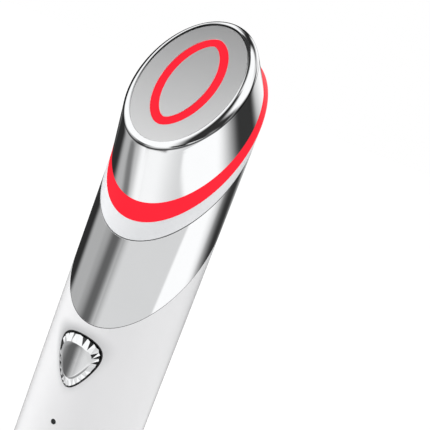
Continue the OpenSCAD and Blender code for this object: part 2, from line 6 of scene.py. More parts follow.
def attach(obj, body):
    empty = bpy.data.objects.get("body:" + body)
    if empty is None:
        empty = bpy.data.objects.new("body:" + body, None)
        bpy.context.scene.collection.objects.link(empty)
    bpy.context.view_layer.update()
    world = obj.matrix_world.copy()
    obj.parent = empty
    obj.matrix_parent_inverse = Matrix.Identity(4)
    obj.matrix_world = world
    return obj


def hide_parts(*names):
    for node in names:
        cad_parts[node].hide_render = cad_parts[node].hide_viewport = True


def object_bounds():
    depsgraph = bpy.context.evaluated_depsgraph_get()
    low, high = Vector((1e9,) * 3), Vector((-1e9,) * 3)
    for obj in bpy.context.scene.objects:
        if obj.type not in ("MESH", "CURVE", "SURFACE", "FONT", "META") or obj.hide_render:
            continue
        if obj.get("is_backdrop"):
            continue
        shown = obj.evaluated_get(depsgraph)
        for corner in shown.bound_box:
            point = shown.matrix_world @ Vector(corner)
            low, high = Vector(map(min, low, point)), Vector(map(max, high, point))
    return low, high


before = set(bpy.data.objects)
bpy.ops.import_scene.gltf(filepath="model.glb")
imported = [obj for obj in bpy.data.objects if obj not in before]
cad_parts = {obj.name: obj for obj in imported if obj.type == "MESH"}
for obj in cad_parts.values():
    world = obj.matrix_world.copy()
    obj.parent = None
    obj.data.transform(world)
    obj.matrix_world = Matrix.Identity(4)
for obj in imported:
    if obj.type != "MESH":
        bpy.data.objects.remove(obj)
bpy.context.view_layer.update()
MM = 0.001

# Sizes of the wand as the frame has them, in millimetres, and the slant of its bands in degrees
TILT = 53.7
SIN, COS = math.sin(math.radians(TILT)), math.cos(math.radians(TILT))
RADIUS = 14
BORE = 12
BARREL_TOP = 117.4
SLEEVE_TOP = 137.3
PALE_TOP = 141.8
TUBE_WALL = 0.9
SEAM = 0.05
BUTTON_W, BUTTON_H, BUTTON_Z = 9.6, 11.6, 89.5


def swell(c):
    """How far the button's outline swells beside an oval, by height from -1 to 1."""
    return 0.888 + 0.42 * c + 0.15 * c * c + 0.06 * c * c * c


# The camera of the photograph: its eye in radii of the barrel, then how it is turned

EYE = Vector((5.110, -11.463, 11.761)) * RADIUS * MM
TURN = math.radians(20.255)
TIP = math.radians(12.15)
ROLL = math.radians(-21.119)
PIXELS = 430
FOCAL_PIXELS = 826.65
SENSOR = 36
back = Vector((math.sin(TURN) * math.cos(TIP), -math.cos(TURN) * math.cos(TIP), math.sin(TIP)))
side = (-back).cross(Vector((0, 0, 1))).normalized()
down = (-back).cross(side)
across = math.cos(ROLL) * side + math.sin(ROLL) * down
drop = math.cos(ROLL) * down - math.sin(ROLL) * side
lens = bpy.data.cameras.new("studio_camera")
lens.sensor_width = SENSOR
lens.lens = FOCAL_PIXELS * SENSOR / PIXELS
lens.clip_start = 0.01
lens.clip_end = 20
camera = bpy.data.objects.new("studio_camera", lens)
bpy.context.collection.objects.link(camera)
camera.matrix_world = Matrix.Translation(EYE) @ Matrix((across, -drop, back)).transposed().to_4x4()
bpy.context.scene.camera = camera
bpy.context.scene.view_settings.view_transform = "Standard"


# Shader maths

class Wire:
    """One output of a node, with the arithmetic of values on it."""

    def __init__(self, tree, socket):
        self.tree, self.socket = tree, socket

    def math(self, operation, *values):
        n = self.tree.nodes.new("ShaderNodeMath")
        n.operation = operation
        for k, v in enumerate((self,) + values):
            plug(self.tree, n.inputs[k], v)
        return Wire(self.tree, n.outputs[0])

    def __add__(self, o): return self.math("ADD", o)
    def __radd__(self, o): return self.math("ADD", o)
    def __sub__(self, o): return self.math("SUBTRACT", o)
    def __rsub__(self, o): return (self * -1).math("ADD", o)
    def __mul__(self, o): return self.math("MULTIPLY", o)
    def __rmul__(self, o): return self.math("MULTIPLY", o)
    def __truediv__(self, o): return self.math("DIVIDE", o)

    def fade(self, low, high):
        """1 up to one value, and smoothly down to 0 at another."""
        return add_node(self.tree, "MapRange", {"interpolation_type": "SMOOTHSTEP"}, Value=self,
                        From_Min=low, From_Max=high, To_Min=1.0, To_Max=0.0)


def plug(tree, socket, value):
    """Links a wire to a socket, or writes a number, a vector or a colour on it."""
    if isinstance(value, Wire):
        tree.links.new(value.socket, socket)
    elif hasattr(value, "__len__") and len(socket.default_value) == 4:
        socket.default_value = (*value, 1)
    else:
        socket.default_value = value


def add_node(tree, kind, settings=None, out=0, **links):
    """Adds a node: its settings first, then its inputs by name, or by number as i0, i1."""
    n = tree.nodes.new("ShaderNode" + kind)
    for key, value in (settings or {}).items():
        setattr(n, key, value)
    for name, value in links.items():
        spot = int(name[1:]) if name[1:].isdigit() else name.replace("_", " ")
        plug(tree, n.inputs[spot], value)
    return Wire(tree, n.outputs[out])


def first_node(tree, kind):
    """The node of a kind that a new tree starts with."""
    return next(n for n in tree.nodes if n.type == kind)


def axes(tree, vector):
    """The X, Y and Z of a vector."""
    first = add_node(tree, "SeparateXYZ", Vector=vector)
    return [Wire(tree, o) for o in first.socket.node.outputs]


def rays(tree, kind):
    """1 for rays of a kind, and 0 for the rest."""
    return add_node(tree, "LightPath", out=f"Is {kind} Ray")


def mixed(tree, factor, a, b):
    """One colour into another by a factor."""
    return add_node(tree, "Mix", {"data_type": "RGBA"}, 2, i0=factor, i6=a, i7=b)


def place(tree, stretch=(1, 1, 1)):
    """The piece's own coordinates, in millimetres."""
    return add_node(tree, "Mapping", Vector=add_node(tree, "TexCoord", out="Object"),
                    Scale=tuple(s / MM for s in stretch))


def grain(tree, size, detail=2.0, rough=0.5, stretch=(1, 1, 1)):
    """Noise from 0 to 1, size across in millimetres."""
    return add_node(tree, "TexNoise", Vector=place(tree, stretch), Scale=1 / size,
                    Detail=detail, Roughness=rough)


def bumps(tree, shader, height, depth):
    """Sends a height to the shader's normal, depth in millimetres."""
    plug(tree, shader.inputs["Normal"],
         add_node(tree, "Bump", Height=height, Strength=1.0, Distance=depth * MM))


def linear(tone):
    """A screen tone of 0 to 255 as a linear value."""
    c = tone / 255
    return c / 12.92 if c <= 0.04045 else ((c + 0.055) / 1.055) ** 2.4


def paint(red, green, blue):
    """A colour from screen tones."""
    return linear(red), linear(green), linear(blue)


def finish_named(name, **fixed):
    """A new material, its tree and its shader, with the fixed sockets set."""
    m = bpy.data.materials.new(name)
    m.use_nodes = True
    shader = first_node(m.node_tree, "BSDF_PRINCIPLED")
    for socket, value in fixed.items():
        plug(m.node_tree, shader.inputs[socket.replace("_", " ")], value)
    return m, m.node_tree, shader


# The studio: what polished surfaces see, the light, and the floor

# Boxes and flags round the object, each over the ones before it: bearing and height of the
# middle, half width and height, softness of the sides and of the ends, skew of the bearing with
# height and tilt of the height with bearing, all by degrees, then the screen tone
PANELS = {
    "top back": (-169.7, 70.4, 14.8, 15.6, 34.1, 24.8, 0.92, 0, 42),
    "top left": (-75.8, 82.2, 66.7, 8.5, 56.3, 3.5, 0, -0.09, 55),
    "upper left": (-77.6, 58.6, 17.1, 10.6, 25.7, 9.3, 1.02, -0.06, 30),
    "back strip": (-156, 18, 7, 28, 8, 16, -0.3, 0, 22),
    "left block": (-132, 10, 30, 15, 12, 9, 0, 0, 10),
    "back block": (-145, 22, 8, 12, 8, 8, 0, 0, 10),
    "left flag": (-133.6, -23.8, 32.3, 9, 30.5, 15.2, 0, 0.15, 46),
    "left wall": (-71, -20.1, 12, 6, 24, 12.3, 0, 0.11, 176),
    "floor left": (-74, -44.1, 25, 13.3, 23, 13.4, 0, 0.05, 180),
    "under floor": (20, -80, 110, 20, 50, 12, 0, 0, 224),
    "low left flag": (-110, -55, 22, 9, 14, 6, 0, 0, 80),
    "front grey": (33.5, -30, 50.5, 20.5, 4, 3, 0, 0, 217),
    "front floor": (3, -42, 8, 12, 64, 7, 0, 0, 253),
    "right box": (112, -16, 30, 8, 5, 2, 0.9, 0.15, 259),
    "stripe": (-35, -19, 3, 13, 28, 5, 0.35, 0, 98),
    "head stripe": (-64, -36, 1.5, 4, 8, 4, -1.5, 0, 124),
    "front line": (3, -34.2, 22, 2.5, 10, 4.5, 0, 0.05, 150),
    "curtain": (39.5, 32, 12.3, 33.6, 29.2, 2.4, -0.53, 0, 46),
    "curtain foot": (35, -5, 9, 6, 10, 2.5, -0.6, 0, 46),
    "arm": (72.6, 19.7, 21.6, 6.3, 19.5, 14.6, 0, -0.34, 49),
    "right arm": (149.3, 10.1, 5.6, 5.7, 11.2, 31.4, 0.09, -0.13, 39),
    "right flag": (148.4, -3.3, 4.6, 12.1, 49.2, 14.1, -1.7, -0.04, 53),
}
STUDIO_WHITE = 1.04
SOFT_LIGHT = 0.80
DEGREES = 180 / math.pi


def mirrored(tree):
    """What a polished surface sees in each direction: the panels before a white studio."""
    look_x, look_y, look_z = axes(tree, add_node(tree, "TexCoord", out="Generated"))
    bearing = look_x.math("ARCTAN2", look_y * -1) * DEGREES
    height = look_z.math("ARCSINE") * DEGREES
    tone = STUDIO_WHITE
    for at, up, half_w, half_h, soft_w, soft_h, skew, tilt, shade in PANELS.values():
        off = (bearing - at).math("WRAP", 180.0, -180.0)
        wide = (off - (height - up) * skew).math("ABSOLUTE")
        high = (height - up - off * tilt).math("ABSOLUTE")
        cover = wide.fade(half_w, half_w + soft_w) * high.fade(half_h, half_h + soft_h)
        tone = cover * (linear(shade) - tone) + tone
    return tone


world = bpy.data.worlds.new("studio")
bpy.context.scene.world = world
world.use_nodes = True
glossy = rays(world.node_tree, "Glossy")
seen = rays(world.node_tree, "Camera").math("MAXIMUM", rays(world.node_tree, "Transmission"))
level = mirrored(world.node_tree) * glossy + (1 - glossy) * SOFT_LIGHT
plug(world.node_tree, first_node(world.node_tree, "BACKGROUND").inputs["Color"],
     level + (1 - level) * seen)

LAMP_AIM = Vector((0, 0, 0.1))
LAMP_WIDE, LAMP_TALL = 0.5, 1.2


def lamp(name, spot, power):
    """A soft box that lights, and isn't itself mirrored."""
    data = bpy.data.lights.new(name, "AREA")
    data.shape = "RECTANGLE"
    data.size, data.size_y = LAMP_WIDE, LAMP_TALL
    data.energy = power
    box = bpy.data.objects.new(name, data)
    bpy.context.collection.objects.link(box)
    box.location = spot
    box.rotation_euler = (LAMP_AIM - Vector(spot)).to_track_quat("-Z", "Y").to_euler()
    box.visible_glossy = False


lamp("left_box", (-0.9, -0.25, 0.35), 5.0)
lamp("right_box", (0.9, 0.2, 0.4), 1.2)

PAPER_GLOW = 1.1
PAPER_LIFT = 0.8


def floor_paper():
    """Pale paper, lifted to white for the camera, that polished surfaces don't see."""
    m, tree, shader = finish_named("floor_paper", Roughness=0.8)
    plug(tree, shader.inputs["Base Color"],
         mixed(tree, grain(tree, 3, 3), paint(244, 244, 245), paint(250, 250, 250)))
    lifted = add_node(tree, "MixShader", i0=rays(tree, "Camera") * PAPER_LIFT,
                      i1=Wire(tree, shader.outputs[0]),
                      i2=add_node(tree, "Emission", Color=(1, 1, 1), Strength=PAPER_GLOW))
    clear = add_node(tree, "MixShader", i0=rays(tree, "Glossy"), i1=lifted,
                     i2=add_node(tree, "BsdfTransparent"))
    plug(tree, first_node(tree, "OUTPUT_MATERIAL").inputs["Surface"], clear)
    return m


floor_finish = floor_paper()


# Modelling by hand

def start_edit():
    bpy.ops.object.mode_set(mode="EDIT")


def end_edit():
    bpy.ops.object.mode_set(mode="OBJECT")


def refresh():
    """Brings what edit mode has changed into the mesh that code reads."""
    end_edit()
    start_edit()


def take(*pieces):
    """Selects pieces alone, the last one active."""
    if bpy.context.mode != "OBJECT":
        end_edit()
    bpy.ops.object.select_all(action="DESELECT")
    for piece in pieces:
        piece.select_set(True)
        bpy.context.view_layer.objects.active = piece


def begin(kind, name, **how):
    """A primitive to start from, alone and in edit mode, all of it selected."""
    take()
    for key in ("radius", "depth", "size"):
        if key in how:
            how[key] *= MM
    if "location" in how:
        how["location"] = tuple(v * MM for v in how["location"])
    getattr(bpy.ops.mesh, f"primitive_{kind}_add")(**how)
    piece = bpy.context.object
    piece.name = piece.data.name = name
    bpy.ops.object.transform_apply(location=True, rotation=True, scale=True)
    start_edit()
    return piece


def pick_all():
    bpy.ops.mesh.select_all(action="SELECT")


def pick_points(numbers):
    """Selects points of the piece in hand by number."""
    start_edit()
    bpy.ops.mesh.select_mode(type="VERT")
    bpy.ops.mesh.select_all(action="DESELECT")
    end_edit()
    for n in numbers:
        bpy.context.object.data.vertices[n].select = True
    start_edit()


def choose(test):
    """Selects points of the piece in hand by their place in millimetres."""
    end_edit()
    pick_points([n for n, v in enumerate(bpy.context.object.data.vertices) if test(v.co / MM)])


def shift(*step):
    bpy.ops.transform.translate(value=Vector(step) * MM)


def size_by(value, about=(0, 0, 0)):
    bpy.ops.transform.resize(value=value, center_override=Vector(about) * MM)


def pull(step):
    """Pulls new edges or faces out of what is selected."""
    bpy.ops.mesh.extrude_region_move(TRANSFORM_OT_translate={"value": Vector(step) * MM})


def outward():
    """Merges doubles and turns every face of the piece in hand outwards."""
    start_edit()
    pick_all()
    bpy.ops.mesh.remove_doubles(threshold=0.002 * MM)
    bpy.ops.mesh.normals_make_consistent(inside=False)
    end_edit()


def modify(piece, kind, **settings):
    """Adds a modifier and applies it."""
    take(piece)
    m = piece.modifiers.new(kind.lower(), kind)
    for key, value in settings.items():
        setattr(m, key, value)
    bpy.ops.object.modifier_apply(modifier=m.name)
    return piece


def cut(piece, tool, how="DIFFERENCE"):
    """Cuts one piece with another, or joins them, and clears the tool away."""
    modify(piece, "BOOLEAN", object=tool, operation=how, solver="EXACT")
    bpy.data.objects.remove(tool)


def round_edges(piece, width, angle):
    """Rounds every edge that turns by more than an angle."""
    modify(piece, "BEVEL", width=width * MM, segments=2, limit_method="ANGLE",
           angle_limit=math.radians(angle), harden_normals=False, miter_outer="MITER_ARC")


def weigh(piece):
    """Keeps flat faces flat to the eye beside their rounded edges."""
    return modify(piece, "WEIGHTED_NORMAL", mode="FACE_AREA", weight=100, keep_sharp=True)


def lean(piece, height=PALE_TOP):
    """Lays a piece that was made flat on the slanted plane at a height."""
    piece.rotation_euler = (math.radians(TILT), 0, 0)
    piece.location = (0, 0, height * MM)
    return piece


def settle(piece, smooth):
    """Applies the place, and shades the piece smooth up to an angle."""
    take(piece)
    bpy.ops.object.transform_apply(location=True, rotation=True, scale=True)
    bpy.ops.object.shade_smooth_by_angle(angle=math.radians(smooth))
    return piece


def dress(piece, finish, slot, body, *replaced):
    """Gives a piece its finish, the nodes that it stands for and its body; the slot is not used."""
    piece.data.materials.clear()
    piece.data.materials.append(finish)
    if replaced:
        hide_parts(*replaced)
    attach(piece, body)


def drawn(name, sides, stations, closed=True):
    """A wall drawn through oval stations: centre on the slope, rise, half width, half length."""
    s, r, w, l = stations[0]
    piece = begin("circle", name, vertices=sides, radius=1)
    size_by((w, l, 1))
    shift(0, s, r)
    for s1, r1, w1, l1 in stations[1:] + (stations[:1] if closed else []):
        pull((0, s1 - s, r1 - r))
        size_by((w1 / w, l1 / l, 1), (0, s1, r1))
        s, r, w, l = s1, r1, w1, l1
    if closed:
        outward()
    return piece


def between(a, b, share):
    """A station between two others."""
    return tuple(p + (q - p) * share for p, q in zip(a, b))


def grown(station, by):
    """A station with its oval larger by a margin."""
    s, r, w, l = station
    return s, r, w + by, l + by


# Finishes

# Painted shade round the button: its inner and outer edge, share and lean, and how far back it
# reaches
BUTTON_SHADE_IN, BUTTON_SHADE_OUT = 0.96, 1.5
BUTTON_SHADE_SHARE, BUTTON_SHADE_LEAN = 0.5, 0.25
BUTTON_SHADE_FRONT, BUTTON_SHADE_REAR = -6.0, -2.0


def painted_button_shade(tree):
    """A soft painted shade round the button on the barrel's front, stronger above and to the left.
    """
    aside, depth, height = axes(tree, place(tree))
    u, v = aside * (2 / BUTTON_W), (height - BUTTON_Z) * (2 / BUTTON_H)
    wide = u / swell(v)
    return ((wide * wide + v * v).math("SQRT").fade(BUTTON_SHADE_IN, BUTTON_SHADE_OUT)
            * (v * BUTTON_SHADE_LEAN - u * BUTTON_SHADE_LEAN + BUTTON_SHADE_SHARE) * depth.fade(BUTTON_SHADE_FRONT, BUTTON_SHADE_REAR))


# The painted dark line's rise over the slanted plane, as it falls and bows from its middle to its
# ends
LINE_RISE, LINE_FALL, LINE_BOW = 11.62, 0.935, 0.065
LINE_MIDDLE, LINE_HALF = 4.3, 17.4
LINE_CORE, LINE_EDGE = 0.05, 0.24


def painted_rim_line(tree):
    """A soft painted dark reflection line where the round of the head's rim runs out into the side.
    """
    _, back, height = axes(tree, place(tree))
    height = height - PALE_TOP
    rise = height * COS - back * SIN
    share = (back * COS + height * SIN - LINE_MIDDLE) * (1 / LINE_HALF)
    foot = share * -LINE_FALL - share * share * LINE_BOW + LINE_RISE
    return (rise - foot).math("ABSOLUTE").fade(LINE_CORE, LINE_EDGE)


def white_plastic():
    m, tree, shader = finish_named("white_shell", IOR=1.32)
    cloud = mixed(tree, grain(tree, 18, 2), paint(238, 238, 239), paint(242, 242, 243))
    # The clouded white, with grey painted shade round the button
    plug(tree, shader.inputs["Base Color"],
         mixed(tree, painted_button_shade(tree), cloud, paint(176, 177, 178)))
    plug(tree, shader.inputs["Roughness"], grain(tree, 6, 3) * 0.06 + 0.14)
    bumps(tree, shader, grain(tree, 0.35, 2), 0.0015)
    return m


def pale_plastic():
    m, tree, shader = finish_named("pale_band", IOR=1.48)
    plug(tree, shader.inputs["Base Color"],
         mixed(tree, grain(tree, 4, 2), paint(236, 238, 240), paint(242, 243, 245)))
    plug(tree, shader.inputs["Roughness"], grain(tree, 3, 3) * 0.1 + 0.26)
    bumps(tree, shader, grain(tree, 0.25, 2), 0.002)
    return m


def mirror_metal(name, line=None):
    """Polished metal with faint smudges and streaks, and a painted dark reflection line where one
    is given.
    """
    m, tree, shader = finish_named(name, Metallic=1.0)
    smudge = grain(tree, 7, 4, 0.6)
    streak = grain(tree, 0.8, 3, 0.6, (1, 1, 0.06))
    bright = mixed(tree, smudge, paint(246, 247, 248), paint(250, 251, 252))
    plug(tree, shader.inputs["Base Color"],
         mixed(tree, line(tree), bright, paint(96, 97, 98)) if line else bright)
    plug(tree, shader.inputs["Roughness"], smudge * 0.03 + streak * 0.02 + 0.035)
    bumps(tree, shader, grain(tree, 2.5, 2), 0.0006)
    return m


def satin_metal():
    m, tree, shader = finish_named("satin_metal", Metallic=1.0)
    hair = grain(tree, 0.16, 3, 0.6, (0.03, 1, 1))
    plug(tree, shader.inputs["Base Color"],
         mixed(tree, grain(tree, 5, 2), paint(244, 245, 246), paint(250, 250, 250)))
    plug(tree, shader.inputs["Roughness"], hair * 0.06 + 0.27)
    bumps(tree, shader, hair, 0.0012)
    return m


def lit_red():
    m, tree, shader = finish_named("light_red", Emission_Strength=1.0, Roughness=0.35, IOR=1.12)
    glow = grain(tree, 9, 1)
    plug(tree, shader.inputs["Base Color"],
         mixed(tree, glow, (0.02, 0.001, 0.002), (0.03, 0.002, 0.003)))
    plug(tree, shader.inputs["Emission Color"],
         mixed(tree, glow, paint(255, 36, 54), paint(255, 42, 60)))
    return m


def plain(name, a, b, rough, size=2.0, metal=0.0, bump=0.003):
    """A finish of two near tones in clouds, with a fine grain in its gloss and surface."""
    m, tree, shader = finish_named(name, Metallic=metal)
    plug(tree, shader.inputs["Base Color"], mixed(tree, grain(tree, size, 3), paint(*a), paint(*b)))
    fleck = grain(tree, 0.3, 3, 0.6)
    plug(tree, shader.inputs["Roughness"], fleck * 0.12 + rough)
    bumps(tree, shader, fleck, bump)
    return m


finishes = {
    "white_shell": white_plastic(),
    "pale_band": pale_plastic(),
    "mirror_metal": mirror_metal("mirror_metal"),
    # The head's metal carries the painted dark reflection line under its rim
    "head_metal": mirror_metal("head_metal", painted_rim_line),
    "satin_metal": satin_metal(),
    "light_red": lit_red(),
    "jet_plastic": plain("jet_plastic", (16, 16, 17), (24, 24, 25), 0.4),
    "lens_dark": plain("lens_dark", (30, 31, 33), (44, 45, 47), 0.12, 0.6, bump=0.001),
    "seal_rubber": plain("seal_rubber", (40, 41, 43), (54, 55, 57), 0.6),
    "inner_plastic": plain("inner_plastic", (214, 215, 212), (226, 227, 224), 0.4, 4.0),
    "board_green": plain("board_green", (18, 84, 46), (30, 104, 60), 0.3, 1.2),
    "gold_spring": plain("gold_spring", (226, 178, 84), (238, 196, 110), 0.22, metal=1.0),
    "screw_steel": plain("screw_steel", (176, 178, 182), (200, 202, 205), 0.24, metal=1.0),
    "light_chip": plain("light_chip", (240, 236, 214), (250, 247, 232), 0.3, 0.5),
    "cell_blue": plain("cell_blue", (32, 74, 150), (44, 90, 170), 0.25, 6.0),
    "lead_red": plain("lead_red", (168, 22, 26), (190, 32, 34), 0.4, 1.0),
    "lead_grey": plain("lead_grey", (120, 122, 126), (140, 142, 146), 0.4, 1.0),
    "dense_metal": plain("dense_metal", (120, 122, 126), (146, 148, 150), 0.3, metal=1.0),
}


# The button's outline, upright in front of the barrel

def row_shape(piece, half_height, width_at, middle):
    """Draws each row of an upright outline in or out to its width."""
    for z in sorted({round(v.co.z / MM, 3) for v in piece.data.vertices}):
        now = max(abs(v.co.x) / MM for v in piece.data.vertices if abs(v.co.z / MM - z) < 0.002)
        if now > 0.01:
            choose(lambda v: abs(v.z - z) < 0.002)
            size_by((width_at((z - middle) / half_height) / now, 1, 1))


def button_outline(name, by, sides, deep):
    """An outline of the button, grown by a margin, at a depth in front of the axis."""
    half_w, half_h = BUTTON_W / 2 + by, BUTTON_H / 2 + by
    piece = begin("circle", name, vertices=sides, radius=1, rotation=(math.radians(90), 0, 0))
    size_by((half_w, 1, half_h))
    shift(0, -deep, BUTTON_Z)
    refresh()

    def width(c):
        c = max(-1, min(1, c))
        return max(0.001, half_w * math.sqrt(1 - c * c) * swell(c))
    row_shape(piece, half_h, width, BUTTON_Z)
    pick_all()
    return piece


# The barrel

COLUMNS = 256
FLUTES = 32
FLUTE_MIDDLE = COLUMNS // FLUTES // 2
FLUTE_DEEP = 0.42
FLUTE_SHARES = (1.0, 0.72, 0.24)
FLUTE_ROWS = [2.6, 4.5, 7, 10, 13, 16, 19, 22, 24.5]
FLUTE_TOP = 27
FOOT_ROUND = 1.6
OVER_SLANT = 141
NECK = RADIUS - TUBE_WALL - SEAM
NECK_TOP = PALE_TOP - SEAM
BORE_PULL, BORE_LEVEL = 60, 20

foot = [(FOOT_ROUND * (1 - math.cos(math.radians(a))),
         RADIUS - FOOT_ROUND * (1 - math.sin(math.radians(a)))) for a in range(0, 91, 15)]
# Rows up the barrel by height and radius, closest where the button's opening comes
rows = [(0, BORE)] + foot
rows += [(z, RADIUS) for z in [*FLUTE_ROWS, FLUTE_TOP, 31, *range(36, 80, 5)]]
rows += [(z * 0.8, RADIUS) for z in range(100, 123)] + [(OVER_SLANT, RADIUS)]
barrel = drawn("barrel_shell", COLUMNS, [(0, z, r, r) for z, r in rows], closed=False)


def in_flutes(z, step):
    """A test for the points of a row that are so many columns from the middle of a flute."""
    def test(v):
        column = (math.degrees(math.atan2(v.y, v.x)) % (360 / FLUTES)) / (360 / COLUMNS)
        apart = min(abs(column - FLUTE_MIDDLE - step), abs(column - FLUTE_MIDDLE + step))
        return abs(v.z - z) < 0.01 and apart < 0.1
    return test


# Flutes: the columns of each row go in, most at the foot
for z in [h for h, _ in foot[2:]] + FLUTE_ROWS:
    for step, share in enumerate(FLUTE_SHARES):
        choose(in_flutes(z, step))
        k = 1 - FLUTE_DEEP * share * (1 - z / FLUTE_TOP) / RADIUS
        size_by((k, k, 1))
# The slanted top, then the neck inside the sleeve and the bore back to the foot
pick_all()
bpy.ops.mesh.bisect(plane_co=(0, 0, BARREL_TOP * MM), plane_no=(0, -SIN, COS), clear_outer=True)
choose(lambda v: abs(v.z - BARREL_TOP - v.y * SIN / COS) < 0.02)
pull((0, 0, 0))
size_by((NECK / RADIUS,) * 3, (0, 0, BARREL_TOP))
pull((0, 0, NECK_TOP - BARREL_TOP))
pull((0, 0, 0))
size_by((BORE / NECK,) * 3, (0, 0, NECK_TOP))
pull((0, 0, -BORE_PULL))
pull((0, 0, BORE_LEVEL - (NECK_TOP - BORE_PULL)))
size_by((1, 1, 0), (0, 0, BORE_LEVEL))
pull((0, 0, -BORE_LEVEL))
outward()

# The button's opening, with room for its liner, and the holes of the four dots by height and radius
GAP, LINER, PLAY = 0.15, 0.3, 0.03
OPENING_FRONT, OPENING_DEEP, OPENING_SIDES = 16, 8, 96
DOTS = ((74.6, 0.63), (42.4, 0.45), (43.9, 0.45), (45.4, 0.45))
HOLE_Y, HOLE_DEEP, HOLE_SIDES = -13, 8, 28
opening = button_outline("opening_tool", GAP + LINER + PLAY, OPENING_SIDES, OPENING_FRONT)
bpy.ops.mesh.edge_face_add()
pull((0, OPENING_DEEP, 0))
outward()
cut(barrel, opening)
for z, r in DOTS:
    hole = begin("cylinder", "hole_tool", vertices=HOLE_SIDES, radius=r, depth=HOLE_DEEP,
                 location=(0, HOLE_Y, z), rotation=(math.radians(90), 0, 0))
    cut(barrel, hole)
settle(barrel, 40)
dress(barrel, finishes["white_shell"], "white_shell", "housing", "body_shell")


# Sleeve, pale band and light band

AROUND = 192
BAND_DROP = 0.17
# Heights of the two slanted planes on the axis, rounding of the edges, finish and node
TUBES = {
    "contact_sleeve_polished": (BARREL_TOP + 0.11, SLEEVE_TOP + 0.06, 0.05,
                                "mirror_metal", "contact_sleeve"),
    "pale_ring": (SLEEVE_TOP + 0.26, PALE_TOP - BAND_DROP - SEAM, 0.04, "pale_band", "pale_band"),
    # Two thin dark rings fill the seams at the sleeve's foot and top as painted shadow lines
    "sleeve_foot_painted_shadow": (BARREL_TOP + 0.005, BARREL_TOP + 0.105, 0.01, "seal_rubber"),
    "sleeve_top_painted_shadow": (SLEEVE_TOP + 0.07, SLEEVE_TOP + 0.25, 0.01, "seal_rubber"),
}


def slanted_tube(name, low, high, edge):
    """A tube between two slanted planes, drawn flat and then laid on its slope."""
    slant = RADIUS / COS
    d = high - low
    k = (RADIUS - TUBE_WALL) / RADIUS
    outer = [(d * f * SIN, d * f * COS, RADIUS, slant) for f in (0, 0.25, 0.5, 0.75, 1)]
    inner = [(d * SIN, d * COS, RADIUS * k, slant * k), (0, 0, RADIUS * k, slant * k)]
    piece = drawn(name, AROUND, outer + inner)
    round_edges(piece, edge, 25)
    return weigh(settle(lean(piece, low), 40))


for name, (low, high, edge, finish, *node) in TUBES.items():
    dress(slanted_tube(name, low, high, edge), finishes[finish], finish, "housing", *node)

# Stations of the light band and of the head's straight sides
BAND_FOOT = (-BAND_DROP * SIN, -BAND_DROP * COS, RADIUS, RADIUS / COS)
BAND_BORE = (-BAND_DROP * SIN, -BAND_DROP * COS, 13.2, 22.3)
BAND_EDGE = (0, 0, RADIUS, RADIUS / COS)
BAND_TOP = (0.65, 2.9, 13.5, 21.298)
HEAD_TOP = (4.305, 13.15, 11.74, 17.413)
HEAD_FOOT_RISE, FACE_RISE = BAND_TOP[1], HEAD_TOP[1]
BAND_WALL = 2

low_top = between(BAND_EDGE, BAND_TOP, 1 - SEAM / HEAD_FOOT_RISE)
band_sides = [between(BAND_EDGE, low_top, f) for f in (0, 0.33, 0.67, 1)]
band = drawn("light_band_lit", AROUND,
             [BAND_FOOT, *band_sides, grown(low_top, -BAND_WALL), BAND_BORE])
round_edges(band, 0.04, 25)
settle(lean(band), 40)
dress(band, finishes["light_red"], "light_red", "housing", "light_band")


# The head: straight sides, then a round over to the face, larger at the back

ROUNDS = {"side": 1.92, "front": 1.8, "back": 2.66}
SIDE_TOP = 10.5
ROUND_FALL = 2.4
PLATE = 1.0
LEDGE, LEDGE_FALL = 1.2, 2.3
HEAD_WALL, HEAD_FOOT_WALL = 1.3, 2.1


def straight(direction, rise):
    """How far the straight sides reach at a rise: to the side, the front or the back."""
    share = (rise - HEAD_FOOT_RISE) / (FACE_RISE - HEAD_FOOT_RISE)
    s, _, w, l = between(BAND_TOP, HEAD_TOP, share)
    return {"side": w, "front": l - s, "back": l + s}[direction]


def reach_at(direction, rise):
    """The same, with the round."""
    radius, top = ROUNDS[direction], straight(direction, FACE_RISE)
    tilt = math.atan2(1, straight(direction, FACE_RISE - 1) - top)
    tangent = radius * math.tan(tilt / 2)
    fall = FACE_RISE - rise
    if fall < tangent * math.sin(tilt):
        return top - tangent + math.sqrt(max(0, radius ** 2 - (radius - fall) ** 2))
    return straight(direction, rise)


def head_oval(rise):
    """The head's station at a rise."""
    front, rear = reach_at("front", rise), reach_at("back", rise)
    return (rear - front) / 2, rise, reach_at("side", rise), (rear + front) / 2


rises = [HEAD_FOOT_RISE + (SIDE_TOP - HEAD_FOOT_RISE) * f / 6 for f in range(7)]
rises += [FACE_RISE - ROUND_FALL * (1 - math.cos(math.radians(a)))
          for a in (90, 84, 78, 72, 66, 60, 54, 48, 42, 36, 30, 24, 19, 14, 9, 4)]
face_edge = head_oval(FACE_RISE)
face_s, _, face_w, face_l = face_edge
# Down the plate's edge, in under its rim and back along the inside
inside = [(face_s, FACE_RISE - PLATE, face_w, face_l),
          (face_s, FACE_RISE - PLATE, face_w - LEDGE, face_l - LEDGE),
          (face_s, FACE_RISE - LEDGE_FALL, face_w - LEDGE, face_l - LEDGE),
          grown(head_oval(SIDE_TOP), -HEAD_WALL), grown(BAND_TOP, -HEAD_FOOT_WALL)]
head = drawn("head_shell_polished", AROUND, [head_oval(r) for r in rises] + [face_edge] + inside)
settle(lean(head), 35)
dress(head, finishes["head_metal"], "mirror_metal", "housing", "head_shell")


# The face: outer plate, light ring and pointed centre plate

OVAL = 0.5
RING_DROP, RING_SHIFT = 0.12, 0.18
# Loops on the face: width, length, middle on the slope, and how pointed the tips are
EDGE = (2 * face_w, 2 * face_l, face_s, OVAL)
RING = (12.2, 23.5, face_s + RING_SHIFT, 0.558)
CENTRE = (8.7, 19.6, face_s + RING_SHIFT, 0.615)


def wider(loop, by):
    """A loop with a margin all round."""
    w, l, slope, point = loop
    return w + 2 * by, l + 2 * by, slope, point


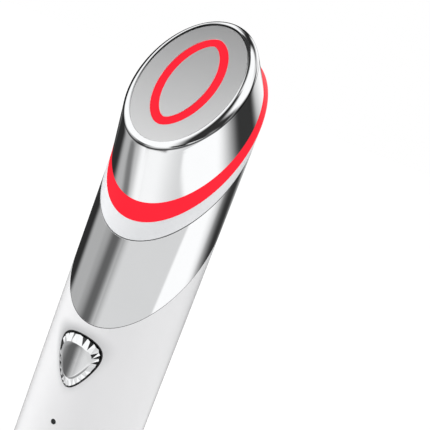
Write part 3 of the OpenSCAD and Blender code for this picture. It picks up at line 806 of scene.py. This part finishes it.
def flat_loop(name, w, l, slope, point):
    """A closed loop on the flat: an oval, its tips drawn sharper where its point says so."""
    piece = begin("circle", name, vertices=AROUND, radius=1)
    size_by((w / 2, l / 2, 1))
    refresh()
    if point != OVAL:
        for y in sorted({round(v.co.y / MM, 4) for v in piece.data.vertices}):
            share = max(0.0, 1 - (y / (l / 2)) ** 2)
            if 0 < share < 0.9999:
                choose(lambda v: abs(v.y - y) < 0.0005)
                size_by((share ** (point - OVAL), 1, 1))
    pick_all()
    shift(0, slope, 0)
    end_edit()
    return piece


def flat_plate(name, top, thick, outer, inner=None):
    """A plate between two loops, or filled, given its thickness downwards."""
    piece = flat_loop(name, *outer)
    if inner:
        take(flat_loop("hole_loop", *inner), piece)
        bpy.ops.object.join()
    start_edit()
    bpy.ops.mesh.select_mode(type="EDGE")
    pick_all()
    if inner:
        bpy.ops.mesh.bridge_edge_loops()
    else:
        bpy.ops.mesh.edge_face_add()
    pick_all()
    shift(0, 0, top)
    pull((0, 0, -thick))
    outward()
    return piece


# Top, thickness, loops, finish and node
FACE = {
    "face_plate_satin": (FACE_RISE, PLATE, wider(EDGE, -SEAM), wider(RING, SEAM),
                         "satin_metal", "face_plate"),
    "face_ring_lit": (FACE_RISE - RING_DROP, PLATE - RING_DROP, RING, wider(CENTRE, SEAM),
                      "light_red", "face_light_ring"),
    "centre_plate_satin": (FACE_RISE, PLATE, CENTRE, None, "satin_metal", "centre_plate"),
}
plates = [(flat_plate(name, *shape), finish, node)
          for name, (*shape, finish, node) in FACE.items()]
for piece, finish, node in plates:
    round_edges(piece, 0.05, 50)
    weigh(settle(lean(piece), 60))
    dress(piece, finishes[finish], finish, "housing", node)


# The button: ridges round a curved shield, over a skirt, a flange and a stem

NOTCHES = 24
HALF_STEPS = 2 * NOTCHES
SHIELD_W, SHIELD_H = 0.79, 0.71
CROWN_RINGS = [(1, 1)] + [(SHIELD_W * f, SHIELD_H * f)
                          for f in (1, 0.9, 0.78, 0.64, 0.48, 0.32, 0.16, 0)]
RIDGE_OUT, SHIELD_OUT, SHIELD_FALL = 0.4, 1.05, 0.06
AHEAD = 20
SKIRT_Y = -11.3
FLANGE_R, FLANGE_T, FLANGE_W, FLANGE_INSET = 11.85, 1.1, 1.1, 0.8
STEM_R, STEM_TIP = 2, -8.5
WRAP_SIDES, WRAP_TALL, FLANGE_SIDES, STEM_SIDES = 720, 60, 64, 32


def on_round(piece, radius):
    """Lays a piece on a round about the axis, straight back along Y."""
    target = begin("cylinder", "wrap_tool", vertices=WRAP_SIDES, radius=radius, depth=WRAP_TALL,
                   location=(0, 0, BUTTON_Z))
    modify(piece, "SHRINKWRAP", target=target, wrap_method="PROJECT", use_project_y=True,
           use_negative_direction=False, use_positive_direction=True)
    bpy.data.objects.remove(target)


def ring_of(v):
    """Which ring of the crown a point is on, and at which half step round it."""
    spots = []
    for ring, (w, h) in enumerate(CROWN_RINGS):
        for k in range(HALF_STEPS):
            turn = math.pi * k / NOTCHES
            x = w * BUTTON_W / 2 * math.sin(turn) * swell(math.cos(turn))
            z = BUTTON_Z + h * BUTTON_H / 2 * math.cos(turn)
            spots.append((math.hypot(v.x - x, v.z - z), ring, k))
    return min(spots)[1:]


crown = button_outline("button_crown", 0, HALF_STEPS, AHEAD)
for was, now in zip(CROWN_RINGS, CROWN_RINGS[1:-1]):
    pull((0, 0, 0))
    size_by((now[0] / was[0], 1, now[1] / was[1]), (0, -AHEAD, BUTTON_Z))
pull((0, 0, 0))
bpy.ops.mesh.merge(type="CENTER")
on_round(crown, RADIUS)
places = [ring_of(v.co / MM) for v in crown.data.vertices]
# The ridges, the shield's border and its middle stand out from the barrel
for out_by, test in ((RIDGE_OUT, lambda ring, k: ring == 0 and k % 2 == 0),
                     (SHIELD_OUT - SHIELD_FALL, lambda ring, k: ring == 1),
                     (SHIELD_OUT, lambda ring, k: ring > 1)):
    pick_points([n for n, spot in enumerate(places) if test(*spot)])
    shift(0, -out_by, 0)
# Each ridge is joined to the shield's border on both sides of it, not straight in
outer = {k: n for n, (ring, k) in enumerate(places) if ring == 0}
border = {k: n for n, (ring, k) in enumerate(places) if ring == 1}
for k in range(0, HALF_STEPS, 2):
    for beside in (k - 1, k + 1):
        pick_points((outer[k], border[beside % HALF_STEPS]))
        bpy.ops.mesh.vert_connect()
for k in range(0, HALF_STEPS, 2):
    bpy.ops.mesh.select_all(action="DESELECT")
    end_edit()
    for e in crown.data.edges:
        e.select = set(e.vertices) == {outer[k], border[k]}
    start_edit()
    bpy.ops.mesh.select_mode(type="EDGE")
    bpy.ops.mesh.dissolve_edges(use_verts=False)
    bpy.ops.mesh.select_mode(type="VERT")
# The skirt goes back into the barrel
pick_all()
bpy.ops.mesh.region_to_loop()
pull((0, 0, 0))
size_by((1, 0, 1), (0, SKIRT_Y, BUTTON_Z))
bpy.ops.mesh.edge_face_add()
outward()
flange = button_outline("flange_tool", FLANGE_W, FLANGE_SIDES, AHEAD)
bpy.ops.mesh.edge_face_add()
bpy.ops.mesh.inset(thickness=FLANGE_INSET * MM)
on_round(flange, FLANGE_R)
start_edit()
pick_all()
pull((0, FLANGE_T, 0))
outward()
cut(crown, flange, "UNION")
stem = begin("cylinder", "stem_tool", vertices=STEM_SIDES, radius=STEM_R,
             depth=STEM_TIP - SKIRT_Y, location=(0, (STEM_TIP + SKIRT_Y) / 2, BUTTON_Z),
             rotation=(math.radians(90), 0, 0))
cut(crown, stem, "UNION")
settle(crown, 12)
dress(crown, finishes["mirror_metal"], "mirror_metal", "button", "button_cap")


# Every other part keeps its shape and gets its finish

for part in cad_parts.values():
    for holder in part.material_slots:
        holder.material = finishes[holder.material.name.split(".")[0]]


# The floor

floor = begin("plane", "floor", size=4000)
end_edit()
floor.data.materials.append(floor_finish)
floor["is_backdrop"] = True

low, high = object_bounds()
